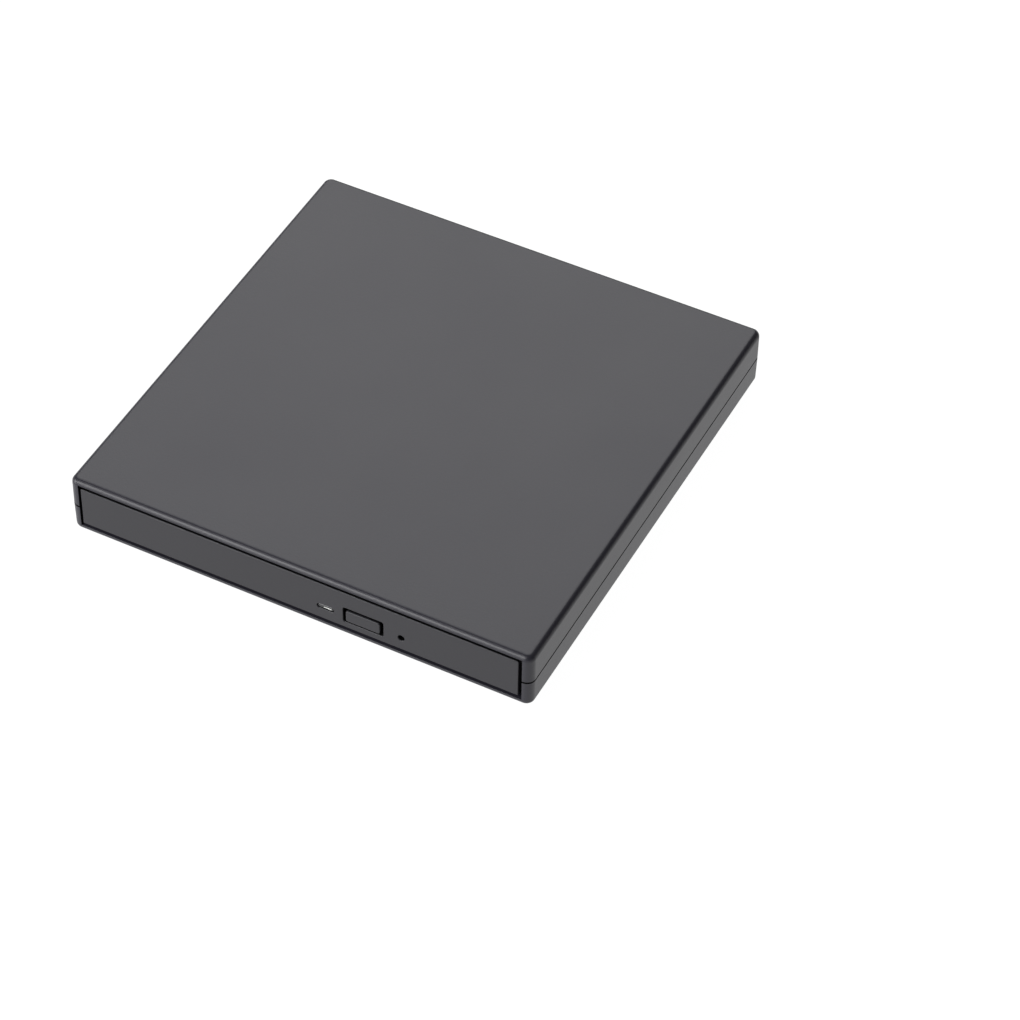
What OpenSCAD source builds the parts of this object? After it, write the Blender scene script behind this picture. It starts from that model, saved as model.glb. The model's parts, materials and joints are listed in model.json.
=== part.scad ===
// External slim optical drive: a two-shell case around a tray-loading 12.7 mm slimline mechanism.
// Millimetres. +X right, +Y to the back, +Z up. The origin is on the table under the centre of the case.

/* [Case] */
// Width of the case
case_w = 135.1; // [134.5:0.1:136]
// Depth of the case, front to back
case_d = 137.2; // [136:0.1:139]
// Height of the two shells together, without the feet
shell_h = 17.8; // [17.6:0.1:18.6]
// Radius of the case's upright corners
corner_r = 2.4; // [2:0.1:4]
// Radius round the top edge
top_round = 1.7; // [0.8:0.1:2]
// Radius round the bottom edge
bottom_round = 1.5; // [0.5:0.1:1.6]
// How far the lower shell's sides lean in from the seam to the bottom
draft = 0.1; // [0:0.05:0.8]
// Thickness of the shell walls
wall = 1.8; // [1.5:0.1:1.8]
// Height of the seam above the lower shell's underside
seam_h = 8.65; // [8.2:0.05:9.2]
// Width of the groove at the seam
seam_gap = 0.4; // [0.1:0.05:0.5]

/* [Feet] */
// How far the rubber feet stand out of the case
foot_h = 1.7; // [1.5:0.1:1.8]
// Diameter of a foot
foot_d = 9; // [7:0.5:10]

/* [Front panel] */
// Width of the bezel on the tray
bezel_w = 128; // [127.4:0.1:128.2]
// Height of the bezel
bezel_h = 12.5; // [12.4:0.05:12.8]
// Thickness of the bezel
bezel_t = 2.8; // [2.6:0.1:3]
// Gap between the bezel and the case at the sides and below
bezel_gap = 0.85; // [0.5:0.05:0.9]
// Shift of the bezel to the right in its opening
bezel_x = -0.3; // [-0.3:0.05:0.3]
// Gap between the bezel and the case above
top_gap = 1.3; // [0.8:0.05:1.4]
// Centre of the status light window, from the middle of the case
light_x = 8.6; // [8:0.1:9.2]
// Centre of the eject button
button_x = 19.4; // [19:0.1:20]
// Centre of the emergency release hole
pinhole_x = 30.4; // [30:0.1:31]
// Diameter of the emergency release hole
pinhole_d = 1.9; // [1.5:0.1:2]

/* [Mechanism] */
// Diameter of the disc that the tray takes
disc_d = 120; // [119:0.5:120]
// Diameter of the turntable's hub, which enters a 15 mm disc hole
hub_d = 14.7; // [14.4:0.1:14.8]
// Angle of the pickup's travel, from straight ahead towards the left
sled_angle = 40; // [38:1:42]
// Which piece to show

/* [Hidden] */
$fn = 48;
eps = 0.01;

// Case heights and limits
half_w = case_w / 2;
front_y = -67;
back_y = front_y + case_d;
middle_y = (front_y + back_y) / 2;
base_z = foot_h;
top_z = foot_h + shell_h;
seam_z = foot_h + seam_h;
inner_x = half_w - wall;
inner_front = front_y + 2;
inner_back = back_y - wall;
floor_z = base_z + wall;
ceiling_z = top_z - wall;

// Bezel and the opening it closes
panel_z0 = 4.37;
panel_z1 = panel_z0 + bezel_h;
panel_z = (panel_z0 + panel_z1) / 2;
bezel_y = front_y + 0.25;
bezel_back = bezel_y + bezel_t;
mouth_x = bezel_w / 2 + bezel_gap;
lip_x = inner_x - 0.9;
mouth_z0 = panel_z0 - bezel_gap;
mouth_z1 = panel_z1 + top_gap;
light_z = 8.7;
button_z = 8.9;
pinhole_z = 8.5;
light_size = [5.2, 1.7];
button_hole = [11.7, 5.2];
button_size = [9.85, 3.7];
button_r = 1.0;

// Slimline chassis
chassis_x = 63.5;
sheet = 0.6;
chassis_front = front_y + 3.4;
chassis_back = front_y + 128;
chassis_z0 = 4.15;
chassis_floor = chassis_z0 + sheet;
chassis_wall_top = 16.3;
notch_x = -38.4;
notch_y = 47.5;
cover_x = 64;
cover_t = 0.5;
cover_z1 = 16.85;
cover_z0 = cover_z1 - cover_t;
cover_flange_z = 11.5;

// Tray
tray_x = 61.95;
tray_back = 58.5;
tray_z0 = 5.9;
tray_z1 = 15.6;
tray_notch_x = -37.2;
tray_notch_y = 46.2;
well_floor_z = 12.2;
well_floor_t = 0.8;
pocket_z = well_floor_z - well_floor_t;
well_r = disc_d / 2 + 0.6;
skirt = 1.55;
spindle_y = front_y + 64.5;

// Rails and the grooves they run in
rail_z0 = 7;
rail_z1 = 13;
rail_lip = 0.5;
rail_y0 = -50;
rail_y1 = 58;
rail_in = 61.2;
rail_web = 62.05;
rail_out = 62.75;

// Pickup unit, in a frame at the spindle with +X along the pickup's travel
rod_v = 16;
rod_z = 8.4;
rod_r = 1;
rod_u0 = 11;
rod_u1 = 62;
run_gap = 0.05;
lens_u = 24;
screw_v = -20.5;
screw_z = 8.6;
screw_r = 1.2;
plate_z = 6.1;
plate_t = 0.6;
grommets = [[-13, 15], [-14, -10], [64.9, -18.5]];
sled_z0 = 6.95;
sled_z1 = 10.7;

// Spindle heights
rotor_z0 = 7.6;
table_z0 = 12;
table_z1 = 13.1;
disc_z = 13.4;
hub_z1 = 15.3;
table_r = 15;
rotor_r = 11.5;

// Rear sockets on the bridge board
board_z0 = 5;
board_z1 = 6;
usb_x = -56;
usb_size = [12, 16.5, 11];
usb_back = back_y - 0.2;
jack_x = -44;
jack_size = [9, 12, 11];
jack_z = 11.5;
jack_bore_r = 3.1;
jack_pin_r = 1.05;
jack_root_r = 1.3;
jack_depth = 8;
jack_nose_r = 4;

// Fasteners
case_screw_x = [-33, 57];
case_screw_y = back_y - 3.65;
tower_r = 1.8;
board_pin_x = [-63.2, -39.9];
board_pin_y = 49.2;
drive_screw_x = 57;
drive_screw_y = [-42, 32];
foot_x = 56;
foot_y = 56;

// Latch on the tray's right front corner
latch_pivot = [54, front_y + 7.5];
post_at = [50, front_y + 15.5];
post_r = 1;
latch_z0 = 5.6;
latch_z1 = 6.9;
solenoid_x = 37;

// Ejector in the tray's right rear corner
ejector_x = 56;
ejector_z = 13.5;
ejector_bore = 2;
ejector_y0 = 32;
plunger_y0 = 45;
plunger_y1 = chassis_back - sheet - 0.2;

// Tray cable
cable_x = [30, 42];
cable_t = 0.2;

// Colours
shell_grey = [0.30, 0.30, 0.32];
bezel_grey = [0.26, 0.26, 0.28];
black = [0.06, 0.06, 0.07];
steel = [0.62, 0.63, 0.65];
dark_steel = [0.35, 0.35, 0.37];
board_green = [0.07, 0.24, 0.13];

// Box from its lowest to its highest corner
module block(low, high) {
    translate(low) cube(high - low);
}

// Box centred on X and Z about a point, from y0 to y1
module bar(x, z, size, y0, y1) {
    block([x - size[0] / 2, y0, z - size[1] / 2], [x + size[0] / 2, y1, z + size[1] / 2]);
}

// Upright cylinder at a plan position, from z0 to z1
module post(at, r, z0, z1) {
    translate([at[0], at[1], z0]) cylinder(r = r, h = z1 - z0);
}

// Cylinder along +Y at (x, z), from y0 to y1
module rod_y(x, z, r, y0, y1) {
    translate([x, y0, z]) rotate([-90, 0, 0]) cylinder(r = r, h = y1 - y0);
}

// Cylinder along +X at (y, z), from x0 to x1
module rod_x(y, z, r, x0, x1) {
    translate([x0, y, z]) rotate([0, 90, 0]) cylinder(r = r, h = x1 - x0);
}

// Rounded rectangle in the XZ plane, extruded along Y, with true round corners
module pill_y(x, z, size, r, y0, y1) {
    bar(x, z, [size[0] - 2 * r, size[1]], y0, y1);
    bar(x, z, [size[0], size[1] - 2 * r], y0, y1);
    for (sx = [-1, 1], sz = [-1, 1])
        rod_y(x + sx * (size[0] / 2 - r), z + sz * (size[1] / 2 - r), r, y0, y1);
}

// Places its children in the pickup unit's frame
module at_spindle() {
    translate([0, spindle_y, 0]) rotate([0, 0, -90 - sled_angle]) children();
}

// Points along an arc
function arc(cx, cy, r, a0, a1, n) =
    [for (i = [0 : n]) let (a = a0 + (a1 - a0) * i / n) [cx + r * cos(a), cy + r * sin(a)]];

// One upright corner of a shell: a disc of radius r with rounded top and bottom edges
module corner_puck(r, z0, z1, r_top, r_bottom) {
    low = r_bottom > 0 ? arc(r - r_bottom, z0 + r_bottom, r_bottom, -90, 0, 6) : [[r, z0]];
    high = r_top > 0 ? arc(r - r_top, z1 - r_top, r_top, 0, 90, 7) : [[r, z1]];
    rotate_extrude($fn = 64) polygon(concat([[0, z0]], low, high, [[0, z1]]));
}

// Four corner pucks, drawn in from the case's outline by inset
module case_corners(z0, z1, r_top, r_bottom, inset) {
    for (sx = [-1, 1], sy = [-1, 1])
        translate([sx * (half_w - corner_r - inset), middle_y + sy * (case_d / 2 - corner_r - inset), 0])
            corner_puck(corner_r, z0, z1, r_top, r_bottom);
}

// Openings in the back wall for the two sockets, shared by both shells
module socket_cuts() {
    bar(usb_x, board_z1 + usb_size[2] / 2, [usb_size[0] + 0.4, usb_size[2] + 0.4],
        inner_back - 2, back_y + 1);
    rod_y(jack_x, jack_z, jack_nose_r + 0.2, inner_back - 2, back_y + 1);
    bar(jack_x, jack_z, [jack_size[0] + 0.4, jack_size[2] + 0.4], inner_back - 2, inner_back + 0.05);
}

// The mouth that the tray comes through
module mouth_cut() {
    block([-mouth_x, front_y - 1, mouth_z0], [mouth_x, inner_front + 1, mouth_z1]);
}

// Snap ridges along the lower shell's lip; grow widens them into the grooves they click into
module snap_ridges(grow) {
    for (sx = [-1, 1], y = [-48, -8, 32])
        block([sx * (inner_x + 0.1) - 0.25 - grow, y - 4 - grow, seam_z + 0.6 - grow],
              [sx * (inner_x + 0.1) + 0.25 + grow, y + 4 + grow, seam_z + 1.1 + grow]);
}

// ---- Case ----

module upper_shell() {
    color(shell_grey) union() {
        difference() {
            hull() case_corners(seam_z + seam_gap / 2, top_z, top_round, 0, 0);
            block([-inner_x, inner_front, base_z], [inner_x, inner_back, ceiling_z]);
            mouth_cut();
            socket_cuts();
            snap_ridges(0.1);
        }
        // Bosses for the two case screws
        for (x = case_screw_x)
            difference() {
                union() {
                    post([x, case_screw_y], tower_r, seam_z + 0.6, ceiling_z + 0.2);
                    block([x - 1, case_screw_y + 1, seam_z + 0.6], [x + 1, inner_back - 0.9, ceiling_z + 0.2]);
                }
                post([x, case_screw_y], 0.78, seam_z, ceiling_z - 1);
            }
    }
}

module lower_shell() {
    color(shell_grey) difference() {
        union() {
            difference() {
                hull() {
                    case_corners(seam_z - seam_gap / 2 - 0.2, seam_z - seam_gap / 2, 0, 0, 0);
                    case_corners(base_z, base_z + 2, 0, bottom_round, draft);
                }
                block([-inner_x, inner_front, floor_z], [inner_x, inner_back, top_z]);
            }
            // Lip that stands up inside the upper shell
            difference() {
                block([-inner_x + 0.1, inner_front + 0.1, seam_z - 3], [inner_x - 0.1, inner_back - 0.1, seam_z + 1.5]);
                block([-lip_x, front_y, seam_z - 4], [lip_x, inner_back - 0.85, seam_z + 2]);
            }
            lip_backing();
            snap_ridges(0);
            // Posts under the chassis, and screw towers at the back
            for (sx = [-1, 1], y = drive_screw_y)
                post([sx * drive_screw_x, y], 2.8, floor_z - 0.2, chassis_z0);
            for (x = case_screw_x)
                post([x, case_screw_y], tower_r, floor_z - 0.2, seam_z + 0.5);
            // Stands and pins for the bridge board
            for (x = board_pin_x) {
                post([x, board_pin_y], 1.4, floor_z - 0.2, board_z0);
                post([x, board_pin_y], 0.55, floor_z, board_z1 - 0.1);
            }
        }
        for (x = case_screw_x)
            block([x - 2.3, case_screw_y - 2, seam_z + 0.5], [x + 2.3, inner_back, seam_z + 2]);
        mouth_cut();
        socket_cuts();
        for (sx = [-1, 1], y = drive_screw_y) {
            post([sx * drive_screw_x, y], 1.15, base_z - 1, chassis_z0 + 1);
            post([sx * drive_screw_x, y], 2.2, base_z - 1, base_z + 1.2);
        }
        for (x = case_screw_x) {
            post([x, case_screw_y], 0.98, base_z - 1, seam_z + 1);
            post([x, case_screw_y], 1.75, base_z - 1, base_z + 1.4);
        }
        for (sx = [-1, 1], sy = [-1, 1])
            post([sx * foot_x, middle_y + sy * foot_y], foot_d / 2 + 0.1, base_z - 1, base_z + 0.6);
        // Recess for the label
        block([-32, -22, base_z - 1], [32, 22, base_z + 0.25]);
    }
}

// Ties the lip to the lower shell's walls below the seam
module lip_backing() {
    difference() {
        block([-inner_x - 0.3, inner_front - 0.3, seam_z - 3], [inner_x + 0.3, inner_back + 0.3, seam_z - 0.6]);
        block([-lip_x, front_y, seam_z - 4], [lip_x, inner_back - 0.85, seam_z]);
    }
}

module rubber_feet() {
    color(black) for (sx = [-1, 1], sy = [-1, 1])
        translate([sx * foot_x, middle_y + sy * foot_y, 0]) rotate_extrude()
            polygon(concat([[0, 0]], arc(foot_d / 2 - 0.4, 0.4, 0.4, -90, 0, 4),
                           [[foot_d / 2, base_z + 0.6], [0, base_z + 0.6]]));
}

// Pan-head screw standing upright, head at the bottom, with a cross recess
module screw(at, head_r, head_z0, head_h, shaft_r, tip_z) {
    difference() {
        union() {
            post(at, head_r, head_z0, head_z0 + head_h);
            post(at, shaft_r, head_z0 + head_h - eps, tip_z);
        }
        for (turn = [0, 90])
            translate([at[0], at[1], head_z0 - eps]) rotate([0, 0, turn])
                block([-head_r * 0.6, -0.2, -eps], [head_r * 0.6, 0.2, head_h * 0.6]);
    }
}

module case_screws() {
    color(dark_steel) for (x = case_screw_x)
        screw([x, case_screw_y], 1.65, base_z + 0.35, 1.05, 0.76, ceiling_z - 2);
}

module drive_screws() {
    color(dark_steel) for (sx = [-1, 1], y = drive_screw_y)
        screw([sx * drive_screw_x, y], 2.05, base_z + 0.2, 1, 0.98, chassis_floor + 0.1);
}

module rating_label() {
    color([0.75, 0.75, 0.74]) block([-31.5, -21.5, base_z + 0.1], [31.5, 21.5, base_z + 0.25]);
}

// ---- Bridge board and rear sockets ----

module bridge_board() {
    color(board_green) difference() {
        block([-64.6, notch_y + 0.6, board_z0], [-39, inner_back - 1.2, board_z1]);
        for (x = board_pin_x)
            post([x, board_pin_y], 0.6, board_z0 - 1, board_z1 + 1);
    }
}

module bridge_chips() {
    color(black) {
        block([-60, 52, board_z0 - 0.9], [-53, 59, board_z0]);
        block([-47, 50.5, board_z0 - 0.8], [-43, 54.5, board_z0]);
        for (i = [0 : 3])
            block([-50.5 + 1.6 * i, 57.5, board_z0 - 0.6], [-49.7 + 1.6 * i, 59.1, board_z0]);
    }
}

module usb_socket_shell() {
    z0 = board_z1;
    z1 = board_z1 + usb_size[2];
    w = usb_size[0] / 2;
    color(steel) difference() {
        block([usb_x - w, usb_back - usb_size[1], z0], [usb_x + w, usb_back, z1]);
        translate([usb_x, 0, (z0 + z1) / 2]) usb_bore(usb_back - usb_size[1] + 1, usb_back + 1, 0);
    }
}

// Square-D opening of a type B receptacle: 8.45 by 7.8 mm, its two top corners cut off
module usb_bore(y0, y1, inset) {
    w = 4.23 - inset;
    h = 3.9 - inset;
    translate([0, y1, 0]) rotate([90, 0, 0]) linear_extrude(y1 - y0)
        polygon([[-w, -h], [w, -h], [w, h - 1.7], [w - 1.7, h], [-w + 1.7, h], [-w, h - 1.7]]);
}

module usb_socket_insert() {
    zc = board_z1 + usb_size[2] / 2;
    color([0.85, 0.85, 0.83]) union() {
        translate([usb_x, 0, zc]) usb_bore(usb_back - usb_size[1] + 1.05, usb_back - 9, 0.05);
        bar(usb_x, zc, [5.6, 3.2], usb_back - 9.2, usb_back - 0.9);
    }
}

module dc_jack() {
    color(black) difference() {
        union() {
            bar(jack_x, jack_z, [jack_size[0], jack_size[2]], inner_back - jack_size[1], inner_back - 0.1);
            rod_y(jack_x, jack_z, jack_nose_r, inner_back - 0.2, back_y - 0.3);
        }
        rod_y(jack_x, jack_z, jack_bore_r, inner_back - jack_depth, back_y);
        rod_y(jack_x, jack_z, jack_root_r + 0.02, inner_back - 11, back_y);
    }
}

module dc_jack_pin() {
    color(steel) union() {
        rod_y(jack_x, jack_z, jack_pin_r, inner_back - jack_depth, back_y - 1.2);
        rod_y(jack_x, jack_z, jack_root_r, inner_back - 10.5, inner_back - jack_depth + 0.5);
    }
}

module bridge_connector() {
    color(black) block([-61, notch_y + 0.7, board_z1], [-41, notch_y + 2.7, board_z1 + 3]);
}

module drive_connector() {
    color([0.15, 0.15, 0.16]) union() {
        block([-59, notch_y - 7, chassis_floor + 0.9], [-43, notch_y - 0.7, 8.4]);
        block([-58, notch_y - 0.75, 6.6], [-44, notch_y + 0.6, 8]);
    }
}

// ---- Chassis ----

// Plan of the chassis, drawn in by inset all round, with the notch for the sockets
module chassis_plan(inset, half, back) {
    polygon([[-half + inset, chassis_front + inset], [half - inset, chassis_front + inset],
             [half - inset, back - inset], [notch_x + inset, back - inset],
             [notch_x + inset, notch_y - inset], [-half + inset, notch_y - inset]]);
}

module chassis_base() {
    color(steel) difference() {
        translate([0, 0, chassis_z0]) linear_extrude(chassis_wall_top - chassis_z0)
            chassis_plan(0, chassis_x, chassis_back);
        translate([0, 0, chassis_floor]) linear_extrude(20) chassis_plan(sheet, chassis_x, chassis_back);
        block([-chassis_x + sheet, front_y, chassis_floor], [chassis_x - sheet, chassis_front + 2, top_z]);
        block([-59.3, notch_y - 2, 5.9], [-42.7, notch_y + 1, 8.6]);
        for (sx = [-1, 1], y = drive_screw_y)
            post([sx * drive_screw_x, y], 1, base_z, chassis_floor + 1);
        post(post_at, post_r, chassis_z0 - 1, chassis_floor + 1);
    }
}

module drive_top_cover() {
    color(steel) difference() {
        translate([0, 0, cover_flange_z]) linear_extrude(cover_z1 - cover_flange_z)
            chassis_plan(0, cover_x, chassis_back + 0.5);
        translate([0, 0, cover_flange_z - 1]) linear_extrude(cover_z0 - cover_flange_z + 1)
            chassis_plan(0.45, cover_x, chassis_back + 0.5);
        block([-cover_x + 0.45, front_y, 0], [cover_x - 0.45, chassis_front + 2, cover_z0]);
        block([-cover_x - 1, notch_y - 2, 0], [notch_x + 2, chassis_back + 1, cover_z0]);
    }
}

// Plastic strips above and below one rail, on the chassis's right wall
module guide_strips() {
    x1 = chassis_x - sheet - 0.02;
    block([61.99, -60, 5.4], [x1, tray_notch_y - 1, rail_z0 - 0.05]);
    block([61.99, -60, rail_z1 + 0.05], [x1, tray_notch_y - 1, 14.2]);
}

module right_guide() {
    color([0.8, 0.8, 0.78]) guide_strips();
}

module left_guide() {
    color([0.8, 0.8, 0.78]) mirror([1, 0, 0]) guide_strips();
}

module drive_board() {
    color(board_green) difference() {
        block([-60, 22, chassis_floor + 0.1], [54, 43.5, chassis_floor + 0.9]);
        for (x = [-56.5, 50])
            post([x, 25], 1, 0, 10);
    }
}

module drive_chips() {
    z = chassis_floor + 0.9;
    color(black) {
        block([-30, 26, z], [-18, 38, z + 1.1]);
        block([-8, 27, z], [2, 34, z + 1]);
        block([10, 28, z], [15, 34, z + 1]);
        for (i = [0 : 5])
            block([-46 + 2.4 * i, 27, z], [-44.8 + 2.4 * i, 29.2, z + 0.7]);
    }
}

module board_cable_socket() {
    z = chassis_floor + 0.9;
    color([0.85, 0.82, 0.72]) difference() {
        block([cable_x[0] - 1.5, 22.2, z], [cable_x[1] + 1.5, 26, z + 1.2]);
        block([cable_x[0] - 0.1, 22, z + 0.3], [cable_x[1] + 0.1, 24.6, z + 0.6]);
    }
}

module latch_post() {
    color(steel) union() {
        post(post_at, post_r - 0.01, chassis_z0 + 0.1, 7.2);
        post(post_at, 2, chassis_floor, chassis_floor + 0.4);
    }
}

// One telescopic rail: a channel, open towards the tray
module rail() {
    y1 = rail_y1;
    block([rail_web, rail_y0, rail_z0], [rail_out, y1, rail_z1]);
    block([rail_in, rail_y0, rail_z0], [rail_web + 0.2, y1, rail_z0 + rail_lip]);
    block([rail_in, rail_y0, rail_z1 - rail_lip], [rail_web + 0.2, y1, rail_z1]);
}

module right_rail() {
    color(steel) rail();
}

module left_rail() {
    color(steel) intersection() {
        mirror([1, 0, 0]) rail();
        block([-half_w, front_y, 0], [0, tray_notch_y - 0.5, top_z]);
    }
}

// ---- Tray ----

// Plan of the tray, drawn in by inset, with its rear left corner cut off
module tray_plan(inset) {
    polygon([[-tray_x + inset, bezel_back], [tray_x - inset, bezel_back],
             [tray_x - inset, tray_back - inset], [tray_notch_x + inset, tray_back - inset],
             [tray_notch_x + inset, tray_notch_y - inset], [-tray_x + inset, tray_notch_y - inset]]);
}

// Window over the pickup's travel, and round the turntable
module lens_window(z0, z1) {
    at_spindle() {
        block([10, -14.6, z0], [50, 14.6, z1]);
        block([49, -6, z0], [60.2, 6, z1]);
    }
    post([0, spindle_y], 17, z0, z1);
}

module tray() {
    color(bezel_grey) difference() {
        translate([0, 0, tray_z0]) linear_extrude(tray_z1 - tray_z0) tray_plan(0);
        // Well for the disc
        post([0, spindle_y], well_r, well_floor_z, tray_z1 + 1);
        // Hollow underside, and clearance over the drive board behind
        difference() {
            translate([0, 0, tray_z0 - 1]) linear_extrude(pocket_z - tray_z0 + 1) tray_plan(skirt);
            block([-tray_x, bezel_back - 1, 0], [tray_x, bezel_back + 1.5, top_z]);
        }
        block([-tray_x + skirt, 20, tray_z0 - 1], [tray_x - skirt, tray_back + 1, 8.9]);
        block([-tray_x - 1, tray_notch_y - 3, tray_z0 - 1], [tray_notch_x + 3, tray_notch_y + 1, 8.9]);
        lens_window(pocket_z - 1, well_floor_z + 1);
        // Grooves for the rails' lips
        for (sx = [-1, 1], z = [rail_z0 - 0.1, rail_z1 - rail_lip - 0.1])
            block([sx > 0 ? rail_in - 0.1 : -tray_x - 1, bezel_back + 4, z],
                  [sx > 0 ? tray_x + 1 : -rail_in + 0.1, tray_back + 1, z + rail_lip + 0.2]);
        // Space behind the button and light, the release hole, and the cable's way out
        block([light_x - 4, bezel_back - 1, tray_z0 - 1], [button_x + 6.7, bezel_back + 3, 11.8]);
        rod_y(pinhole_x, pinhole_z, pinhole_d / 2, bezel_back - 1, bezel_back + 3);
        rod_y(ejector_x, ejector_z, ejector_bore, ejector_y0, tray_back + 1);
        // Finger notches at the front corners of the well
        for (sx = [-1, 1])
            post([sx * 38, -53], 9, well_floor_z + 0.6, tray_z1 + 1);
    }
}

module tray_bottom_cover() {
    color(steel) difference() {
        block([-59.5, -60.5, 5.2], [27, 20, 5.6]);
        at_spindle() block([18, -9, 0], [54, 9, 10]);
        for (at = [[-56, -57], [-56, 16], [23, 16]])
            post(at, 1, 0, 10);
        at_spindle() for (at = grommets)
            post(at, 2.1, 0, 10);
    }
}

module bezel() {
    color(bezel_grey) difference() {
        pill_y(bezel_x, panel_z, [bezel_w, bezel_h], 0.6, bezel_y, bezel_back);
        pill_y(button_x, button_z, button_hole, 0.7, bezel_y - 1, bezel_back + 1);
        pill_y(light_x, light_z, light_size, light_size[1] / 2 - eps, bezel_y - 1, bezel_back + 1);
        rod_y(pinhole_x, pinhole_z, pinhole_d / 2, bezel_y - 1, bezel_back + 1);
    }
}

module light_lens() {
    size = light_size - [0.1, 0.1];
    color([0.85, 0.86, 0.84]) union() {
        pill_y(light_x, light_z, size, size[1] / 2 - eps, bezel_y + 0.1, bezel_back + 0.3);
        bar(light_x, light_z, [6, 2.6], bezel_back + 0.05, bezel_back + 1);
    }
}

module status_led() {
    color([0.9, 0.9, 0.8]) bar(light_x, light_z, [2, 1.3], bezel_back + 1.2, bezel_back + 2);
}

module switch_board() {
    color(board_green) bar((light_x + button_x) / 2 + 1, 8.4, [22, 5], bezel_back + 3.4, bezel_back + 4.2);
}

module eject_switch() {
    color(black) union() {
        bar(button_x, button_z, [5.4, 3.6], bezel_back + 2.2, bezel_back + 3.4);
        rod_y(button_x, button_z, 0.9, bezel_back + 1.7, bezel_back + 2.3);
    }
}

module eject_button() {
    color(bezel_grey) union() {
        pill_y(button_x, button_z, button_size, button_r, front_y + eps, bezel_back + 0.2);
        bar(button_x, button_z - 0.2, [12.6, 5.8], bezel_back + 0.1, bezel_back + 0.6);
        rod_y(button_x, button_z, 1.2, bezel_back + 0.5, bezel_back + 0.9);
    }
}

module tray_board() {
    color(board_green) union() {
        block([28, 2, pocket_z - 1], [56, 20, pocket_z - 0.2]);
        block([34, 6, pocket_z - 2], [42, 14, pocket_z - 1]);
        block([46, 4, pocket_z - 2.2], [50, 18, pocket_z - 1]);
    }
}

// ---- Latch and ejector ----

module latch_lever() {
    p = latch_pivot;
    color([0.82, 0.8, 0.74]) difference() {
        union() {
            post(p, 2.6, latch_z0, latch_z1);
            block([p[0] - 1.6, p[1], latch_z0], [p[0] + 1.6, p[1] + 11.4, latch_z1]);
            block([post_at[0] - 0.2, post_at[1] + post_r + 0.1, latch_z0], [p[0], p[1] + 11.4, latch_z1]);
            block([pinhole_x - 2, p[1] - 1, latch_z0], [p[0], p[1] + 1, latch_z1]);
            block([pinhole_x - 2, p[1] - 1, latch_z0], [pinhole_x + 2, p[1] + 0.2, pinhole_z + 1]);
        }
        post(p, 1.25, 0, top_z);
        post([solenoid_x, p[1]], 0.75, 0, top_z);
    }
}

module latch_solenoid() {
    y0 = latch_pivot[1] + 6;
    color([0.6, 0.35, 0.2]) difference() {
        union() {
            bar(solenoid_x, 8.4, [6.5, 5], y0 + 0.8, y0 + 9);
            bar(solenoid_x, 8.4, [8, 5.6], y0, y0 + 0.9);
            bar(solenoid_x, 8.4, [8, 5.6], y0 + 8.9, y0 + 9.8);
        }
        rod_y(solenoid_x, 8.4, 1.05, y0 - 1, y0 + 11);
    }
}

module solenoid_plunger() {
    y = latch_pivot[1];
    color(steel) union() {
        rod_y(solenoid_x, 8.4, 1, y + 1, y + 12);
        bar(solenoid_x, 8.4, [2.4, 2.4], y - 1.2, y + 1.2);
        post([solenoid_x, y], 0.5, latch_z0 + 0.1, 8);
    }
}

module ejector_plunger() {
    color([0.82, 0.8, 0.74]) union() {
        rod_y(ejector_x, ejector_z, ejector_bore - run_gap, plunger_y0, plunger_y1 - 0.6);
        rod_y(ejector_x, ejector_z, ejector_bore - 0.6, plunger_y1 - 0.7, plunger_y1);
    }
}

// Helical spring along +Y, as one swept ring of corners per step
module spring_y(x, z, y0, y1, coil_r, wire_r, turns) {
    steps = turns * 14;
    sides = 6;
    rings = [for (i = [0 : steps]) let (a = 360 * i / 14, y = y0 + (y1 - y0) * i / steps)
        [for (k = [0 : sides - 1]) let (b = 360 * k / sides, r = coil_r + wire_r * cos(b))
            [x + r * cos(a), y + wire_r * sin(b), z + r * sin(a)]]];
    points = [for (ring = rings) each ring];
    last = steps * sides;
    faces = concat([[for (k = [0 : sides - 1]) k]],
        [for (i = [0 : steps - 1], k = [0 : sides - 1]) let (n = (k + 1) % sides, a = i * sides)
            [a + k, a + sides + k, a + sides + n, a + n]],
        [[for (k = [sides - 1 : -1 : 0]) last + k]]);
    polyhedron(points, faces, convexity = 10);
}

module ejector_spring() {
    color(steel) spring_y(ejector_x, ejector_z, ejector_y0 + 0.4, plunger_y0 - 0.3, 1.5, 0.25, 9);
}

// ---- Tray cable ----

// Unit normal of a path at point i, from its neighbours
function path_normal(p, i) =
    let (a = p[max(i - 1, 0)], b = p[min(i + 1, len(p) - 1)], d = b - a)
    [-d[1], d[0]] / norm(d);

// Outline of a ribbon of thickness t about a path
function ribbon(p, t) = concat(
    [for (i = [0 : len(p) - 1]) p[i] + path_normal(p, i) * t / 2],
    [for (i = [len(p) - 1 : -1 : 0]) p[i] - path_normal(p, i) * t / 2]);

module tray_cable() {
    low = chassis_floor + 0.2;
    fold = 1.6;
    path = concat([[24.4, 6.1], [21.5, 6.1], [18, low]],
                  arc(-25, low + fold, fold, 270, 90, 10),
                  [[-6, low + 2 * fold], [0, pocket_z - 1.5], [5.9, pocket_z - 1.5]]);
    color([0.83, 0.84, 0.86])
        translate([cable_x[0], 0, 0]) rotate([90, 0, 90])
            linear_extrude(cable_x[1] - cable_x[0]) polygon(ribbon(path, cable_t));
}

// ---- Pickup unit ----

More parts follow.
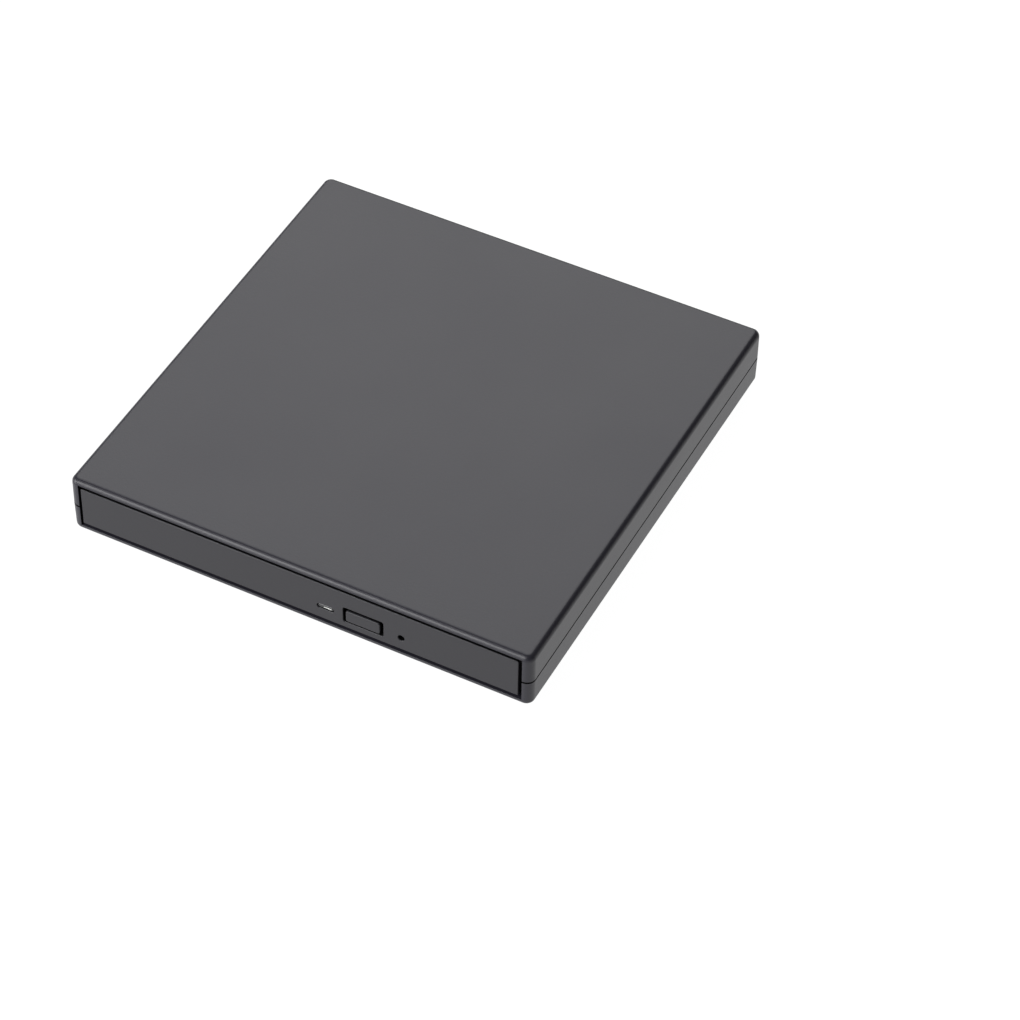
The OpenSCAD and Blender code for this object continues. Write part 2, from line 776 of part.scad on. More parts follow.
module traverse_frame() {
    color(steel) intersection() {
        at_spindle() difference() {
            union() {
                block([-17, -23.5, plate_z], [68, 20.5, plate_z + plate_t]);
                block([-17, 20, plate_z], [66, 20.5, 9]);
                block([15, -23.5, plate_z], [66, -23, 9]);
            }
            block([13, -11.5, 0], [58, 11.5, 10]);
            block([-4, -24, 0], [13.3, -17.7, 10]);
            post([0, 0], 4, 0, 10);
            for (at = grommets)
                post(at, 1.8, 0, 10);
        }
        block([-60.2, -61.2, 0], [40, 40, top_z]);
    }
}

module traverse_grommets() {
    color(black) at_spindle() for (at = grommets)
        difference() {
            union() {
                post(at, 1.75, plate_z - 0.3, plate_z + plate_t + 0.9);
                post(at, 2.6, plate_z + plate_t, plate_z + plate_t + 1);
            }
            post(at, 1, 0, 10);
        }
}

module traverse_screws() {
    color(dark_steel) at_spindle() for (at = grommets)
        screw(at, 1.7, plate_z - 0.8, 0.45, 0.95, pocket_z);
}

module guide_rods() {
    color(steel) at_spindle() for (v = [-rod_v, rod_v])
        rod_x(v, rod_z, rod_r, rod_u0, rod_u1);
}

module rod_clamps() {
    color(black) at_spindle() {
        for (v = [-rod_v, rod_v], u = [rod_u0, rod_u1 - 3])
            difference() {
                block([u, v - 1.65, plate_z + plate_t], [u + 3, v + 1.65, rod_z + 1.7]);
                rod_x(v, rod_z, rod_r + 0.01, u - 1, u + 4);
            }
        difference() {
            block([60.2, screw_v - 1.6, plate_z + plate_t], [61.6, screw_v + 1.6, screw_z + 1.6]);
            rod_x(screw_v, screw_z, 0.7 + run_gap, 59, 62);
        }
    }
}

module stepper_motor() {
    color(steel) at_spindle() difference() {
        union() {
            rod_x(screw_v, screw_z, 2.6, -3, 12.6);
            block([12.5, screw_v - 2.7, plate_z + plate_t + 0.05], [13.1, screw_v + 2.7, 11.2]);
        }
        rod_x(screw_v, screw_z, 0.7 + run_gap, 7, 14);
    }
}

module lead_screw() {
    color(steel) at_spindle() union() {
        rod_x(screw_v, screw_z, screw_r, 13.4, 60);
        rod_x(screw_v, screw_z, 0.7, 7.5, 61.4);
    }
}

module spindle_base() {
    color(board_green) difference() {
        post([0, spindle_y], 13.5, plate_z + plate_t, plate_z + plate_t + 0.4);
        post([0, spindle_y], 3.05, 0, 10);
    }
}

module spindle_stator() {
    color([0.65, 0.35, 0.18]) translate([0, spindle_y, 0]) difference() {
        post([0, 0], 9, plate_z + plate_t + 0.45, 10.8);
        post([0, 0], 3.03, 0, 12);
        for (i = [0 : 8])
            rotate([0, 0, 40 * i]) block([5, -0.7, 0], [10, 0.7, 12]);
    }
}

module spindle_bearing() {
    color([0.7, 0.6, 0.35]) difference() {
        post([0, spindle_y], 3, 5.8, 10.6);
        post([0, spindle_y], 1 + run_gap, 6.3, 12);
    }
}

module rotor_can() {
    at = [0, spindle_y];
    color(steel) union() {
        difference() {
            post(at, rotor_r, rotor_z0, table_z0);
            post(at, 9.4, rotor_z0 - 1, table_z0 - 0.8);
        }
        post(at, 1, 6.35, table_z0 - 0.2);
    }
}

module turntable() {
    color([0.12, 0.12, 0.13]) translate([0, spindle_y, 0]) difference() {
        rotate_extrude($fn = 96)
            polygon([[0, table_z0], [table_r, table_z0], [table_r, table_z1], [hub_d / 2 + 1, table_z1],
                     [hub_d / 2 + 0.6, table_z1 - 0.4], [hub_d / 2, table_z1 - 0.4],
                     [hub_d / 2, hub_z1 - 0.8], [hub_d / 2 - 1.2, hub_z1], [3, hub_z1],
                     [2.4, hub_z1 - 0.5], [0, hub_z1 - 0.5]]);
        for (i = [0 : 2])
            rotate([0, 0, 30 + 120 * i]) block([4.1, -1.6, 13.6], [9, 1.6, 14.75]);
    }
}

module turntable_pad() {
    color(black) difference() {
        post([0, spindle_y], table_r - 0.4, table_z1, disc_z);
        post([0, spindle_y], 11, table_z1 - 1, disc_z + 1);
    }
}

// One of the three sprung claws that hold a disc on the hub
module hub_claw(turn) {
    color([0.2, 0.2, 0.21]) translate([0, spindle_y, 0]) rotate([0, 0, turn]) union() {
        block([4.9, -1.5, 13.7], [hub_d / 2 - 0.1, 1.5, 14.65]);
        translate([hub_d / 2 - 0.12, 0, 14.15]) rotate([90, 0, 0])
            translate([0, 0, -1.5]) cylinder(r = 0.45, h = 3);
    }
}

module hub_claw_1() {
    hub_claw(30);
}

module hub_claw_2() {
    hub_claw(150);
}

module hub_claw_3() {
    hub_claw(270);
}

module pickup_body() {
    color([0.45, 0.46, 0.48]) at_spindle() translate([lens_u, 0, 0]) difference() {
        union() {
            block([-9, -13, sled_z0], [7, 13, sled_z1]);
            block([-9, 12, 6.85], [-1, 17.8, 9.95]);
            block([-7, -17.2, 6.85], [1, -12, 9.95]);
        }
        rod_x(rod_v, rod_z, rod_r + run_gap, -12, 12);
        block([-8, -18, rod_z - rod_r - 0.06], [2, -14.8, rod_z + rod_r + 0.06]);
        block([-3.8, -5.4, sled_z0 + 0.7], [3.8, 5.4, 12]);
        block([-8, -11.5, sled_z1 - 0.3], [6, 11.5, 12]);
    }
}

module pickup_cover() {
    color([0.72, 0.6, 0.35]) at_spindle() translate([lens_u, 0, 0]) difference() {
        block([-7.9, -11.4, sled_z1 - 0.3], [5.9, 11.4, sled_z1 + 0.1]);
        block([-3.8, -5.4, 5], [3.8, 5.4, 12]);
    }
}

module sled_nut() {
    color([0.85, 0.82, 0.72]) at_spindle() translate([lens_u, 0, 0])
        block([-5, screw_v + screw_r + run_gap, 7.7], [-1, -17.2, 9.5]);
}

module lens_holder() {
    color([0.1, 0.1, 0.11]) at_spindle() translate([lens_u, 0, 0]) difference() {
        union() {
            block([-3, -4.6, 8.3], [3, 4.6, 10.9]);
            post([0, 0], 2.8, 10.8, 11.5);
        }
        post([0, 0], 2.05, 10.3, 12);
        post([0, 0], 1.6, 8, 12);
    }
}

module objective_lens() {
    color([0.55, 0.6, 0.75]) at_spindle() translate([lens_u, 0, 0])
        rotate_extrude() polygon(concat([[0, 10.35], [2, 10.35], [2, 10.9]], arc(0, 7.9, 3.6, 56.4, 90, 8)));
}

// The modules are drawn with the case front at front_y; this puts the middle of the case over the origin
module placed() {
    translate([0, -middle_y, 0]) children();
}

placed() upper_shell();
placed() lower_shell();
placed() rubber_feet();
placed() case_screws();
placed() drive_screws();
placed() rating_label();
placed() bridge_board();
placed() bridge_chips();
placed() usb_socket_shell();
placed() usb_socket_insert();
placed() dc_jack();
placed() dc_jack_pin();
placed() bridge_connector();
placed() drive_connector();
placed() chassis_base();
placed() drive_top_cover();
placed() left_guide();
placed() right_guide();
placed() drive_board();
placed() drive_chips();
placed() board_cable_socket();
placed() latch_post();
placed() left_rail();
placed() right_rail();
placed() tray();
placed() tray_bottom_cover();
placed() bezel();
placed() light_lens();
placed() status_led();
placed() switch_board();
placed() eject_switch();
placed() traverse_frame();
placed() traverse_grommets();
placed() traverse_screws();
placed() guide_rods();
placed() rod_clamps();
placed() stepper_motor();
placed() spindle_base();
placed() spindle_stator();
placed() spindle_bearing();
placed() tray_board();
placed() latch_solenoid();
placed() tray_cable();
placed() ejector_spring();
placed() rotor_can();
placed() turntable();
placed() turntable_pad();
placed() hub_claw_1();
placed() hub_claw_2();
placed() hub_claw_3();
placed() pickup_body();
placed() pickup_cover();
placed() sled_nut();
placed() lens_holder();
placed() objective_lens();
placed() lead_screw();
placed() eject_button();
placed() latch_lever();
placed() solenoid_plunger();
placed() ejector_plunger();
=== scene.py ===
import json
import math

import bmesh
import bpy
from mathutils import Matrix, Vector


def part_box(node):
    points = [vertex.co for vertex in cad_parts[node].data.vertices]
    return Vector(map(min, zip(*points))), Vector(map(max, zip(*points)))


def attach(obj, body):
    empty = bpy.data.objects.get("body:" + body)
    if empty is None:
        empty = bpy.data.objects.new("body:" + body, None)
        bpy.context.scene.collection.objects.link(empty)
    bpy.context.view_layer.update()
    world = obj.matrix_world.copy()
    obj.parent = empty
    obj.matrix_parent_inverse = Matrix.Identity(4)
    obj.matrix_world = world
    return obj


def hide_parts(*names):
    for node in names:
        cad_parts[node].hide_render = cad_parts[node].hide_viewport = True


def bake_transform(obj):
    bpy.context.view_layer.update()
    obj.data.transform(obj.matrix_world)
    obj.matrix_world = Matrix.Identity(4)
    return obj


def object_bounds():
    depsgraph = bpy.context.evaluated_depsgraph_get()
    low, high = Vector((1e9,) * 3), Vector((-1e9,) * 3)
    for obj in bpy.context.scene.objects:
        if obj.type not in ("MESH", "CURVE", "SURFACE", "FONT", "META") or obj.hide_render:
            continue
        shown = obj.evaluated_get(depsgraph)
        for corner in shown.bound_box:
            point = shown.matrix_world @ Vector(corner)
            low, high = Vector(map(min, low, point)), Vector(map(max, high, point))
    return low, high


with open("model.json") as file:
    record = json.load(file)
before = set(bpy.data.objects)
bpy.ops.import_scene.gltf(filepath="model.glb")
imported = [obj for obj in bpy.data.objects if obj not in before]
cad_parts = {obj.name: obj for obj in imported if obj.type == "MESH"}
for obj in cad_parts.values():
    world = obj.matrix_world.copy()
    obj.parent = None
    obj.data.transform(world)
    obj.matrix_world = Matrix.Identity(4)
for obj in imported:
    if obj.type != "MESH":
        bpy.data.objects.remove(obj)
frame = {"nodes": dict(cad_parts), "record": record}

CAD_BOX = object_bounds()
MM = 0.001

# Centres of the front panel's openings as (x, z), and the spindle's place along y, in millimetres
BUTTON = (19.4, 8.9)
PINHOLE = (30.4, 8.5)
LIGHT_SLOT = (8.45, 8.6)
SPINDLE_Y = -4.1
# The pickup's direction of travel, in degrees from +X
PICKUP_TURN = 230


# ---- Materials -------------------------------------------------------------------------------

class Look:
    """A principled material, wired up one texture at a time. Sizes are in metres."""

    BEVEL_SAMPLES = 4

    def __init__(self, name, color, rough, metallic=0.0):
        self.mat = bpy.data.materials.new(name)
        self.mat.use_nodes = True
        self.tree = self.mat.node_tree
        self.shader = self.tree.nodes["Principled BSDF"]
        self.place = self.add("ShaderNodeTexCoord").outputs["Object"]
        self.color = self.value_color(color)
        self.rough = rough
        self.height = None
        self.round_edges = 0.0
        self.shader.inputs["Metallic"].default_value = metallic

    def add(self, kind, **settings):
        node = self.tree.nodes.new(kind)
        for name, value in settings.items():
            setattr(node, name, value)
        return node

    def link(self, source, target):
        self.tree.links.new(source, target)

    def value_color(self, color):
        node = self.add("ShaderNodeRGB")
        node.outputs[0].default_value = (*color, 1.0)
        return node.outputs[0]

    def noise(self, size, detail=3.0, stretch=(1, 1, 1)):
        """Noise with features of about this size; stretch lengthens them along an axis."""
        scale = self.add("ShaderNodeMapping")
        scale.inputs["Scale"].default_value = [1 / (size * s) for s in stretch]
        self.link(self.place, scale.inputs["Vector"])
        node = self.add("ShaderNodeTexNoise")
        node.inputs["Scale"].default_value = 1.0
        node.inputs["Detail"].default_value = detail
        self.link(scale.outputs[0], node.inputs["Vector"])
        return node.outputs["Fac"]

    def cells(self, size, feature="F1"):
        """Distance inside a pattern of cells of about this size."""
        node = self.add("ShaderNodeTexVoronoi", feature=feature)
        node.inputs["Scale"].default_value = 1 / size
        self.link(self.place, node.inputs["Vector"])
        return node.outputs["Distance"]

    def remap(self, value, low, high, to_low=0.0, to_high=1.0):
        node = self.add("ShaderNodeMapRange")
        self.link(value, node.inputs["Value"])
        ends = {"From Min": low, "From Max": high, "To Min": to_low, "To Max": to_high}
        for name, number in ends.items():
            node.inputs[name].default_value = number
        return node.outputs["Result"]

    def math(self, operation, a, b):
        node = self.add("ShaderNodeMath", operation=operation)
        for socket, value in zip(node.inputs, (a, b)):
            if isinstance(value, (int, float)):
                socket.default_value = value
            else:
                self.link(value, socket)
        return node.outputs[0]

    def tint(self, mask, color):
        """Mixes a colour into the base wherever the mask is high."""
        node = self.add("ShaderNodeMix", data_type="RGBA", blend_type="MIX")
        self.link(mask, node.inputs["Factor"])
        self.link(self.color, node.inputs[6])
        node.inputs[7].default_value = (*color, 1.0)
        self.color = node.outputs[2]

    def vary_rough(self, mask, low, high):
        self.rough = self.remap(mask, 0.0, 1.0, low, high)

    def raise_by(self, mask, depth):
        """Adds a bump of this depth, in metres, to the surface."""
        step = self.math("MULTIPLY", mask, depth)
        self.height = step if self.height is None else self.math("ADD", self.height, step)

    def rounded(self, radius):
        """The surface's normal, as if its edges were rounded by this radius."""
        bevel = self.add("ShaderNodeBevel", samples=self.BEVEL_SAMPLES)
        bevel.inputs["Radius"].default_value = radius
        return bevel.outputs[0]

    def edge_mask(self, radius):
        """High along sharp convex and concave edges."""
        bevel = self.rounded(radius)
        flat = self.add("ShaderNodeNewGeometry")
        dot = self.add("ShaderNodeVectorMath", operation="DOT_PRODUCT")
        self.link(bevel, dot.inputs[0])
        self.link(flat.outputs["Normal"], dot.inputs[1])
        return self.remap(dot.outputs["Value"], 0.99, 0.8)

    def box_mask(self, low, high):
        """1 inside this box of the row frame, 0 outside."""
        split = self.add("ShaderNodeSeparateXYZ")
        self.link(self.place, split.inputs[0])
        inside = None
        for axis in range(3):
            above = self.math("GREATER_THAN", split.outputs[axis], low[axis])
            below = self.math("LESS_THAN", split.outputs[axis], high[axis])
            both = self.math("MULTIPLY", above, below)
            inside = both if inside is None else self.math("MULTIPLY", inside, both)
        return inside

    def done(self):
        """Connects colour, roughness and bump to the shader and returns the material."""
        self.link(self.color, self.shader.inputs["Base Color"])
        if isinstance(self.rough, (int, float)):
            self.shader.inputs["Roughness"].default_value = self.rough
        else:
            self.link(self.rough, self.shader.inputs["Roughness"])
        if self.height is not None:
            bump = self.add("ShaderNodeBump")
            bump.inputs["Strength"].default_value = 1.0
            bump.inputs["Distance"].default_value = 1.0
            self.link(self.height, bump.inputs["Height"])
            if self.round_edges:
                self.link(self.rounded(self.round_edges), bump.inputs["Normal"])
            self.link(bump.outputs[0], self.shader.inputs["Normal"])
        return self.mat


PLASTIC_GLOSS = 0.36
# Painted shade: the colour and gloss that gaps, openings and the seam are painted with, standing in for
# their shadow.
PAINTED_SHADE_GLOSS = 0.04
PAINTED_SHADE_COLOR = (0.003, 0.003, 0.003)


def moulded_plastic(name, color, rough, grain, depth, wear, painted_shade_boxes=()):
    """Spark-textured moulding: fine grain, faint cloudiness, edges rubbed a little brighter.

    Inside the painted-shade boxes it is painted nearly black with almost no gloss: painted shade for the
    shadow in deep gaps and the seam.
    """
    look = Look(name, color, rough)
    look.round_edges = 0.15 * MM
    fine = look.noise(grain, detail=2.0)
    cloud = look.noise(28 * MM, detail=3.0)
    pores = look.cells(grain * 2.2)
    look.tint(look.remap(cloud, 0.35, 0.7, 0.0, 0.35), [c * 1.16 for c in color])
    look.tint(look.remap(fine, 0.55, 0.75, 0.0, 0.5), [c * 1.45 for c in color])
    look.tint(look.math("MULTIPLY", look.edge_mask(0.25 * MM), wear), [c * 1.9 for c in color])
    look.vary_rough(look.remap(cloud, 0.3, 0.7), rough - 0.012, rough + 0.012)
    look.raise_by(fine, depth)
    look.raise_by(look.noise(grain * 3.5, detail=1.0), depth * 1.5)
    look.raise_by(pores, depth * 0.6)
    look.shader.inputs["Specular IOR Level"].default_value = PLASTIC_GLOSS
    inside = None
    for low, high in painted_shade_boxes:
        mask = look.box_mask(low, high)
        inside = mask if inside is None else look.math("MAXIMUM", inside, mask)
    # Painted shade: nearly black and almost glossless inside the boxes.
    if inside:
        look.tint(inside, PAINTED_SHADE_COLOR)
        shine = look.remap(inside, 0.0, 1.0, PLASTIC_GLOSS, PAINTED_SHADE_GLOSS)
        look.link(shine, look.shader.inputs["Specular IOR Level"])
    return look.done()


def sheet_metal(name, color, rough, direction=(1, 14, 1)):
    """Rolled and plated sheet: long fine lines, soft blotches, a few rubbed edges."""
    look = Look(name, color, rough, metallic=1.0)
    lines = look.noise(0.18 * MM, detail=3.0, stretch=direction)
    blotch = look.noise(9 * MM, detail=4.0)
    look.tint(look.remap(blotch, 0.4, 0.7, 0.0, 0.5), [c * 0.78 for c in color])
    rubbed = look.math("MULTIPLY", look.edge_mask(0.15 * MM), 0.5)
    look.tint(rubbed, [min(1.0, c * 1.3) for c in color])
    look.vary_rough(lines, rough - 0.08, rough + 0.14)
    look.raise_by(lines, 0.004 * MM)
    return look.done()


def ground_metal(name, color, rough):
    """Turned or ground metal with very fine marks."""
    look = Look(name, color, rough, metallic=1.0)
    marks = look.noise(0.08 * MM, detail=2.0)
    look.vary_rough(marks, rough - 0.05, rough + 0.08)
    look.tint(look.remap(look.noise(4 * MM), 0.5, 0.8, 0.0, 0.3), [c * 0.8 for c in color])
    look.raise_by(marks, 0.001 * MM)
    return look.done()


def soft_rubber(name, color):
    look = Look(name, color, 0.78)
    dust = look.noise(1.2 * MM, detail=5.0)
    look.tint(look.remap(dust, 0.55, 0.8, 0.0, 0.35), [c * 3 + 0.02 for c in color])
    look.vary_rough(dust, 0.7, 0.9)
    look.raise_by(look.noise(0.25 * MM), 0.02 * MM)
    look.shader.inputs["Sheen Weight"].default_value = 0.15
    return look.done()


def circuit_board(name, color):
    """Solder mask over copper: a faint pattern of tracks and a gloss coat."""
    look = Look(name, color, 0.35)
    tracks = look.cells(2.4 * MM, "DISTANCE_TO_EDGE")
    look.tint(look.remap(tracks, 0.05, 0.03, 0.0, 0.8), [c * 1.9 for c in color])
    look.tint(look.remap(look.noise(6 * MM), 0.4, 0.7, 0.0, 0.4), [c * 0.7 for c in color])
    look.raise_by(look.remap(tracks, 0.05, 0.03), 0.03 * MM)
    look.shader.inputs["Coat Weight"].default_value = 0.5
    look.shader.inputs["Coat Roughness"].default_value = 0.15
    return look.done()


def plain_moulding(name, color, rough):
    """Unpainted moulded part with slight flow marks."""
    look = Look(name, color, rough)
    flow = look.noise(3 * MM, detail=4.0, stretch=(3, 1, 1))
    look.tint(look.remap(flow, 0.4, 0.7, 0.0, 0.4), [c * 0.85 for c in color])
    look.vary_rough(flow, rough - 0.06, rough + 0.08)
    look.raise_by(look.noise(0.15 * MM), 0.004 * MM)
    return look.done()


def frosted_window(name, color):
    look = Look(name, color, 0.28)
    frost = look.noise(0.12 * MM)
    look.vary_rough(frost, 0.2, 0.4)
    look.tint(look.remap(look.noise(1.5 * MM), 0.4, 0.7, 0.0, 0.3), [c * 0.86 for c in color])
    look.raise_by(frost, 0.003 * MM)
    look.shader.inputs["Transmission Weight"].default_value = 0.25
    look.shader.inputs["Subsurface Weight"].default_value = 0.2
    look.shader.inputs["Subsurface Radius"].default_value = (MM, MM, MM)
    return look.done()


def copper_winding(name, color):
    look = Look(name, color, 0.3, metallic=0.9)
    wave = look.add("ShaderNodeTexWave", wave_type="BANDS", bands_direction="Z")
    wave.inputs["Scale"].default_value = 1 / (0.9 * MM)
    look.link(look.place, wave.inputs["Vector"])
    # Darker bands in the grooves between turns are painted shade.
    look.tint(look.remap(wave.outputs["Fac"], 0.5, 0.0, 0.0, 0.7), [c * 0.35 for c in color])
    look.raise_by(wave.outputs["Fac"], 0.05 * MM)
    return look.done()


def ribbon_film(name, color):
    """Flat cable: fine parallel conductors under clear film."""
    look = Look(name, color, 0.3)
    wave = look.add("ShaderNodeTexWave", wave_type="BANDS", bands_direction="X")
    wave.inputs["Scale"].default_value = 1 / (3.2 * MM)
    look.link(look.place, wave.inputs["Vector"])
    look.tint(look.remap(wave.outputs["Fac"], 0.4, 0.6, 0.0, 0.75), [c * 0.55 for c in color])
    look.raise_by(wave.outputs["Fac"], 0.02 * MM)
    look.shader.inputs["Coat Weight"].default_value = 0.6
    return look.done()


def blank_film(name, color):
    look = Look(name, color, 0.4)
    fibre = look.noise(0.6 * MM, detail=4.0)
    look.tint(look.remap(fibre, 0.4, 0.7, 0.0, 0.3), [c * 0.92 for c in color])
    look.vary_rough(fibre, 0.34, 0.5)
    look.raise_by(fibre, 0.003 * MM)
    return look.done()


def lens_glass(name, color):
    look = Look(name, color, 0.03)
    look.tint(look.remap(look.noise(3 * MM), 0.4, 0.7, 0.0, 0.5), (0.35, 0.25, 0.6))
    look.shader.inputs["Transmission Weight"].default_value = 0.7
    look.shader.inputs["Coat Weight"].default_value = 1.0
    look.raise_by(look.noise(2 * MM), 0.0004 * MM)
    return look.done()


# Boxes in which the plastic is painted nearly black, painted shade for the shadow in gaps, openings and the
# seam. FAR lies beyond the object on every side.
FAR = 1.0
BEZEL_LOW, BEZEL_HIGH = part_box("bezel")
BEHIND_FACE = BEZEL_LOW.y + 0.3 * MM
MOUTH_SHADE = ((-64.9 * MM, CAD_BOX[0][1] + 0.2 * MM, 3.6 * MM), (64.9 * MM, BEZEL_HIGH.y, 18.25 * MM))
SEAM_SHADE = ((-FAR, -FAR, 10.05 * MM), (FAR, FAR, 10.65 * MM))
BUTTON_SIDE_SHADE = ((-FAR, BEHIND_FACE, -FAR), (FAR, FAR, FAR))
RIM_TOP_SHADE = ((-FAR, BEHIND_FACE, BEZEL_HIGH.z - 0.1 * MM), (FAR, BEHIND_FACE + MM, FAR))
OPENING_SHADE = ((5.5 * MM, BEHIND_FACE, 6.0 * MM), (31.7 * MM, BEZEL_HIGH.y - 0.1 * MM, 11.8 * MM))

CHARCOAL = (0.016, 0.0153, 0.0215)
DARK_CHARCOAL = (0.016, 0.0155, 0.0190)

MATERIALS = {
    # The last argument gives the boxes of painted shade.
    "shell_plastic": moulded_plastic("shell_plastic", CHARCOAL, 0.38, 0.22 * MM, 0.009 * MM, 0.3,
                                     (MOUTH_SHADE, SEAM_SHADE)),
    "bezel_plastic": moulded_plastic("bezel_plastic", DARK_CHARCOAL, 0.37, 0.18 * MM, 0.005 * MM, 0.3,
                                     (OPENING_SHADE, RIM_TOP_SHADE)),
    "button_plastic": moulded_plastic("button_plastic", DARK_CHARCOAL, 0.35, 0.18 * MM, 0.004 * MM, 0.3,
                                      (BUTTON_SIDE_SHADE,)),
    "tray_plastic": moulded_plastic("tray_plastic", (0.030, 0.030, 0.034), 0.5,
                                    0.25 * MM, 0.010 * MM, 0.5),
    "black_plastic": moulded_plastic("black_plastic", (0.020, 0.020, 0.022), 0.45,
                                     0.15 * MM, 0.004 * MM, 0.5),
    "chip": moulded_plastic("chip", (0.022, 0.022, 0.024), 0.6, 0.12 * MM, 0.004 * MM, 0.2),
    "rubber": soft_rubber("rubber", (0.018, 0.018, 0.020)),
    "label": blank_film("label", (0.60, 0.60, 0.59)),
    "chassis_steel": sheet_metal("chassis_steel", (0.60, 0.61, 0.62), 0.34),
    "dark_steel": sheet_metal("dark_steel", (0.10, 0.10, 0.11), 0.36, (1, 1, 1)),
    "zinc": sheet_metal("zinc", (0.42, 0.43, 0.45), 0.45, (1, 1, 1)),
    "polished_steel": ground_metal("polished_steel", (0.72, 0.72, 0.74), 0.14),
    "bronze": ground_metal("bronze", (0.50, 0.36, 0.16), 0.3),
    "board": circuit_board("board", (0.025, 0.11, 0.055)),
    "white_plastic": plain_moulding("white_plastic", (0.70, 0.69, 0.65), 0.42),
    "amber_film": plain_moulding("amber_film", (0.42, 0.24, 0.06), 0.25),
    "lens_window": frosted_window("lens_window", (0.66, 0.67, 0.64)),
    "copper": copper_winding("copper", (0.62, 0.28, 0.12)),
    "ribbon": ribbon_film("ribbon", (0.62, 0.64, 0.67)),
    "objective": lens_glass("objective", (0.5, 0.55, 0.85)),
}

SMOKED = plain_moulding("smoked_window", (0.016, 0.016, 0.018), 0.2)


def dress_frame():
    """Gives every CAD node the material of its slot."""
    slots = {part["node"]: part["material_slot"] for part in frame["record"]["subparts"]}
    for node, obj in frame["nodes"].items():
        obj.data.materials.clear()
        obj.data.materials.append(MATERIALS[slots[node]])


# ---- Pieces ----------------------------------------------------------------------------------

def box_mm(node):
    """The node's lowest and highest corner in millimetres."""
    low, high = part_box(node)
    return low / MM, high / MM


SHARP_ANGLE = math.radians(38)


def add_piece(name, mesh, body, slot, material, *nodes):
    """Puts a mesh drawn in millimetres into the scene as a piece of that body.
    """
    mesh.transform(Matrix.Scale(MM, 4))
    mesh.name = name
    mesh.shade_smooth()
    mesh.set_sharp_from_angle(angle=SHARP_ANGLE)
    mesh.materials.clear()
    mesh.materials.append(material)
    piece = bpy.data.objects.new(name, mesh)
    bpy.context.scene.collection.objects.link(piece)
    if body:
        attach(piece, body)
    if nodes:
        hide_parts(*nodes)
    return piece


def round_rect(cx, cz, width, height, radius, steps=7):
    """Points of a rectangle with round corners, in the XZ plane."""
    points = []
    for turn, sx, sz in ((0, 1, 1), (90, -1, 1), (180, -1, -1), (270, 1, -1)):
        for i in range(steps + 1):
            a = math.radians(turn + 90 * i / steps)
            points.append((cx + sx * (width / 2 - radius) + radius * math.cos(a),
                           cz + sz * (height / 2 - radius) + radius * math.sin(a)))
    return points


def plate(outline, holes, y0, y1, edge):
    """A plate between y0 and y1 with holes, every edge rounded by this radius."""
    curve = bpy.data.curves.new("plate", "CURVE")
    curve.dimensions = "2D"
    curve.fill_mode = "BOTH"
    for loop in [outline] + holes:
        spline = curve.splines.new("POLY")
        spline.points.add(len(loop) - 1)
        for point, (x, z) in zip(spline.points, loop):
            point.co = (x, z, 0, 1)
        spline.use_cyclic_u = True
    curve.extrude = (y1 - y0) / 2 - edge
    curve.bevel_depth = edge
    curve.bevel_resolution = 3
    curve.offset = -edge
    holder = bpy.data.objects.new("plate", curve)
    bpy.context.scene.collection.objects.link(holder)
    bpy.context.view_layer.update()
    scene_state = bpy.context.evaluated_depsgraph_get()
    mesh = bpy.data.meshes.new_from_object(holder.evaluated_get(scene_state))
    bpy.data.objects.remove(holder)
    bpy.data.curves.remove(curve)
    stand_up = Matrix.Rotation(math.radians(90), 4, "X")
    mesh.transform(Matrix.Translation((0, (y0 + y1) / 2, 0)) @ stand_up)
    return mesh


def soft_block(low, high, edge):
    """A block with rounded edges."""
    form = bmesh.new()
    bmesh.ops.create_cube(form, size=1.0)
    size = [b - a for a, b in zip(low, high)]
    middle = [(a + b) / 2 for a, b in zip(low, high)]
    bmesh.ops.scale(form, vec=size, verts=form.verts)
    bmesh.ops.translate(form, vec=middle, verts=form.verts)
    bmesh.ops.bevel(form, geom=form.edges[:], offset=edge, segments=3, profile=0.5, affect="EDGES",
                    clamp_overlap=True)
    return to_mesh(form)


def lathe(profile, center=(0, 0, 0), steps=48):
    """Turns (radius, height) points round the upright axis through the centre."""
    form = bmesh.new()
    rings = []
    for radius, height in profile:
        if radius == 0:
            rings.append([form.verts.new((0, 0, height))])
            continue
        rings.append([form.verts.new((radius * math.cos(a), radius * math.sin(a), height))
                      for a in (2 * math.pi * i / steps for i in range(steps))])
    for lower, upper in zip(rings, rings[1:]):
        for i in range(steps):
            j = (i + 1) % steps
            corners = [ring[at % len(ring)] for ring, at in ((lower, i), (lower, j), (upper, j), (upper, i))]
            corners = list(dict.fromkeys(corners))
            if len(corners) > 2:
                form.faces.new(corners)
    bmesh.ops.recalc_face_normals(form, faces=form.faces)
    mesh = to_mesh(form)
    mesh.transform(Matrix.Translation(center))
    return mesh


def to_mesh(form):
    """A mesh of what was built; the form is used up."""
    mesh = bpy.data.meshes.new("form")
    form.to_mesh(mesh)
    form.free()
    return mesh


def joined(*meshes):
    """One mesh of several, which are used up."""
    form = bmesh.new()
    for mesh in meshes:
        form.from_mesh(mesh)
        bpy.data.meshes.remove(mesh)
    return to_mesh(form)


def make_bezel():
    """The bezel with openings for the button, the light and the release pin."""
    low, high = box_mm("bezel")
    middle = (low + high) / 2
    outline = round_rect(middle.x, middle.z, high.x - low.x, high.z - low.z, 0.35)
    holes = [
        round_rect(*BUTTON, 11.7, 5.2, 0.6),
        round_rect(*LIGHT_SLOT, 5.0, 1.5, 0.749),
        round_rect(*PINHOLE, 1.9, 1.9, 0.949, 10),
    ]
    add_piece("bezel_panel", plate(outline, holes, low.y, high.y, 0.22), "tray", "bezel_plastic",
              MATERIALS["bezel_plastic"], "bezel")


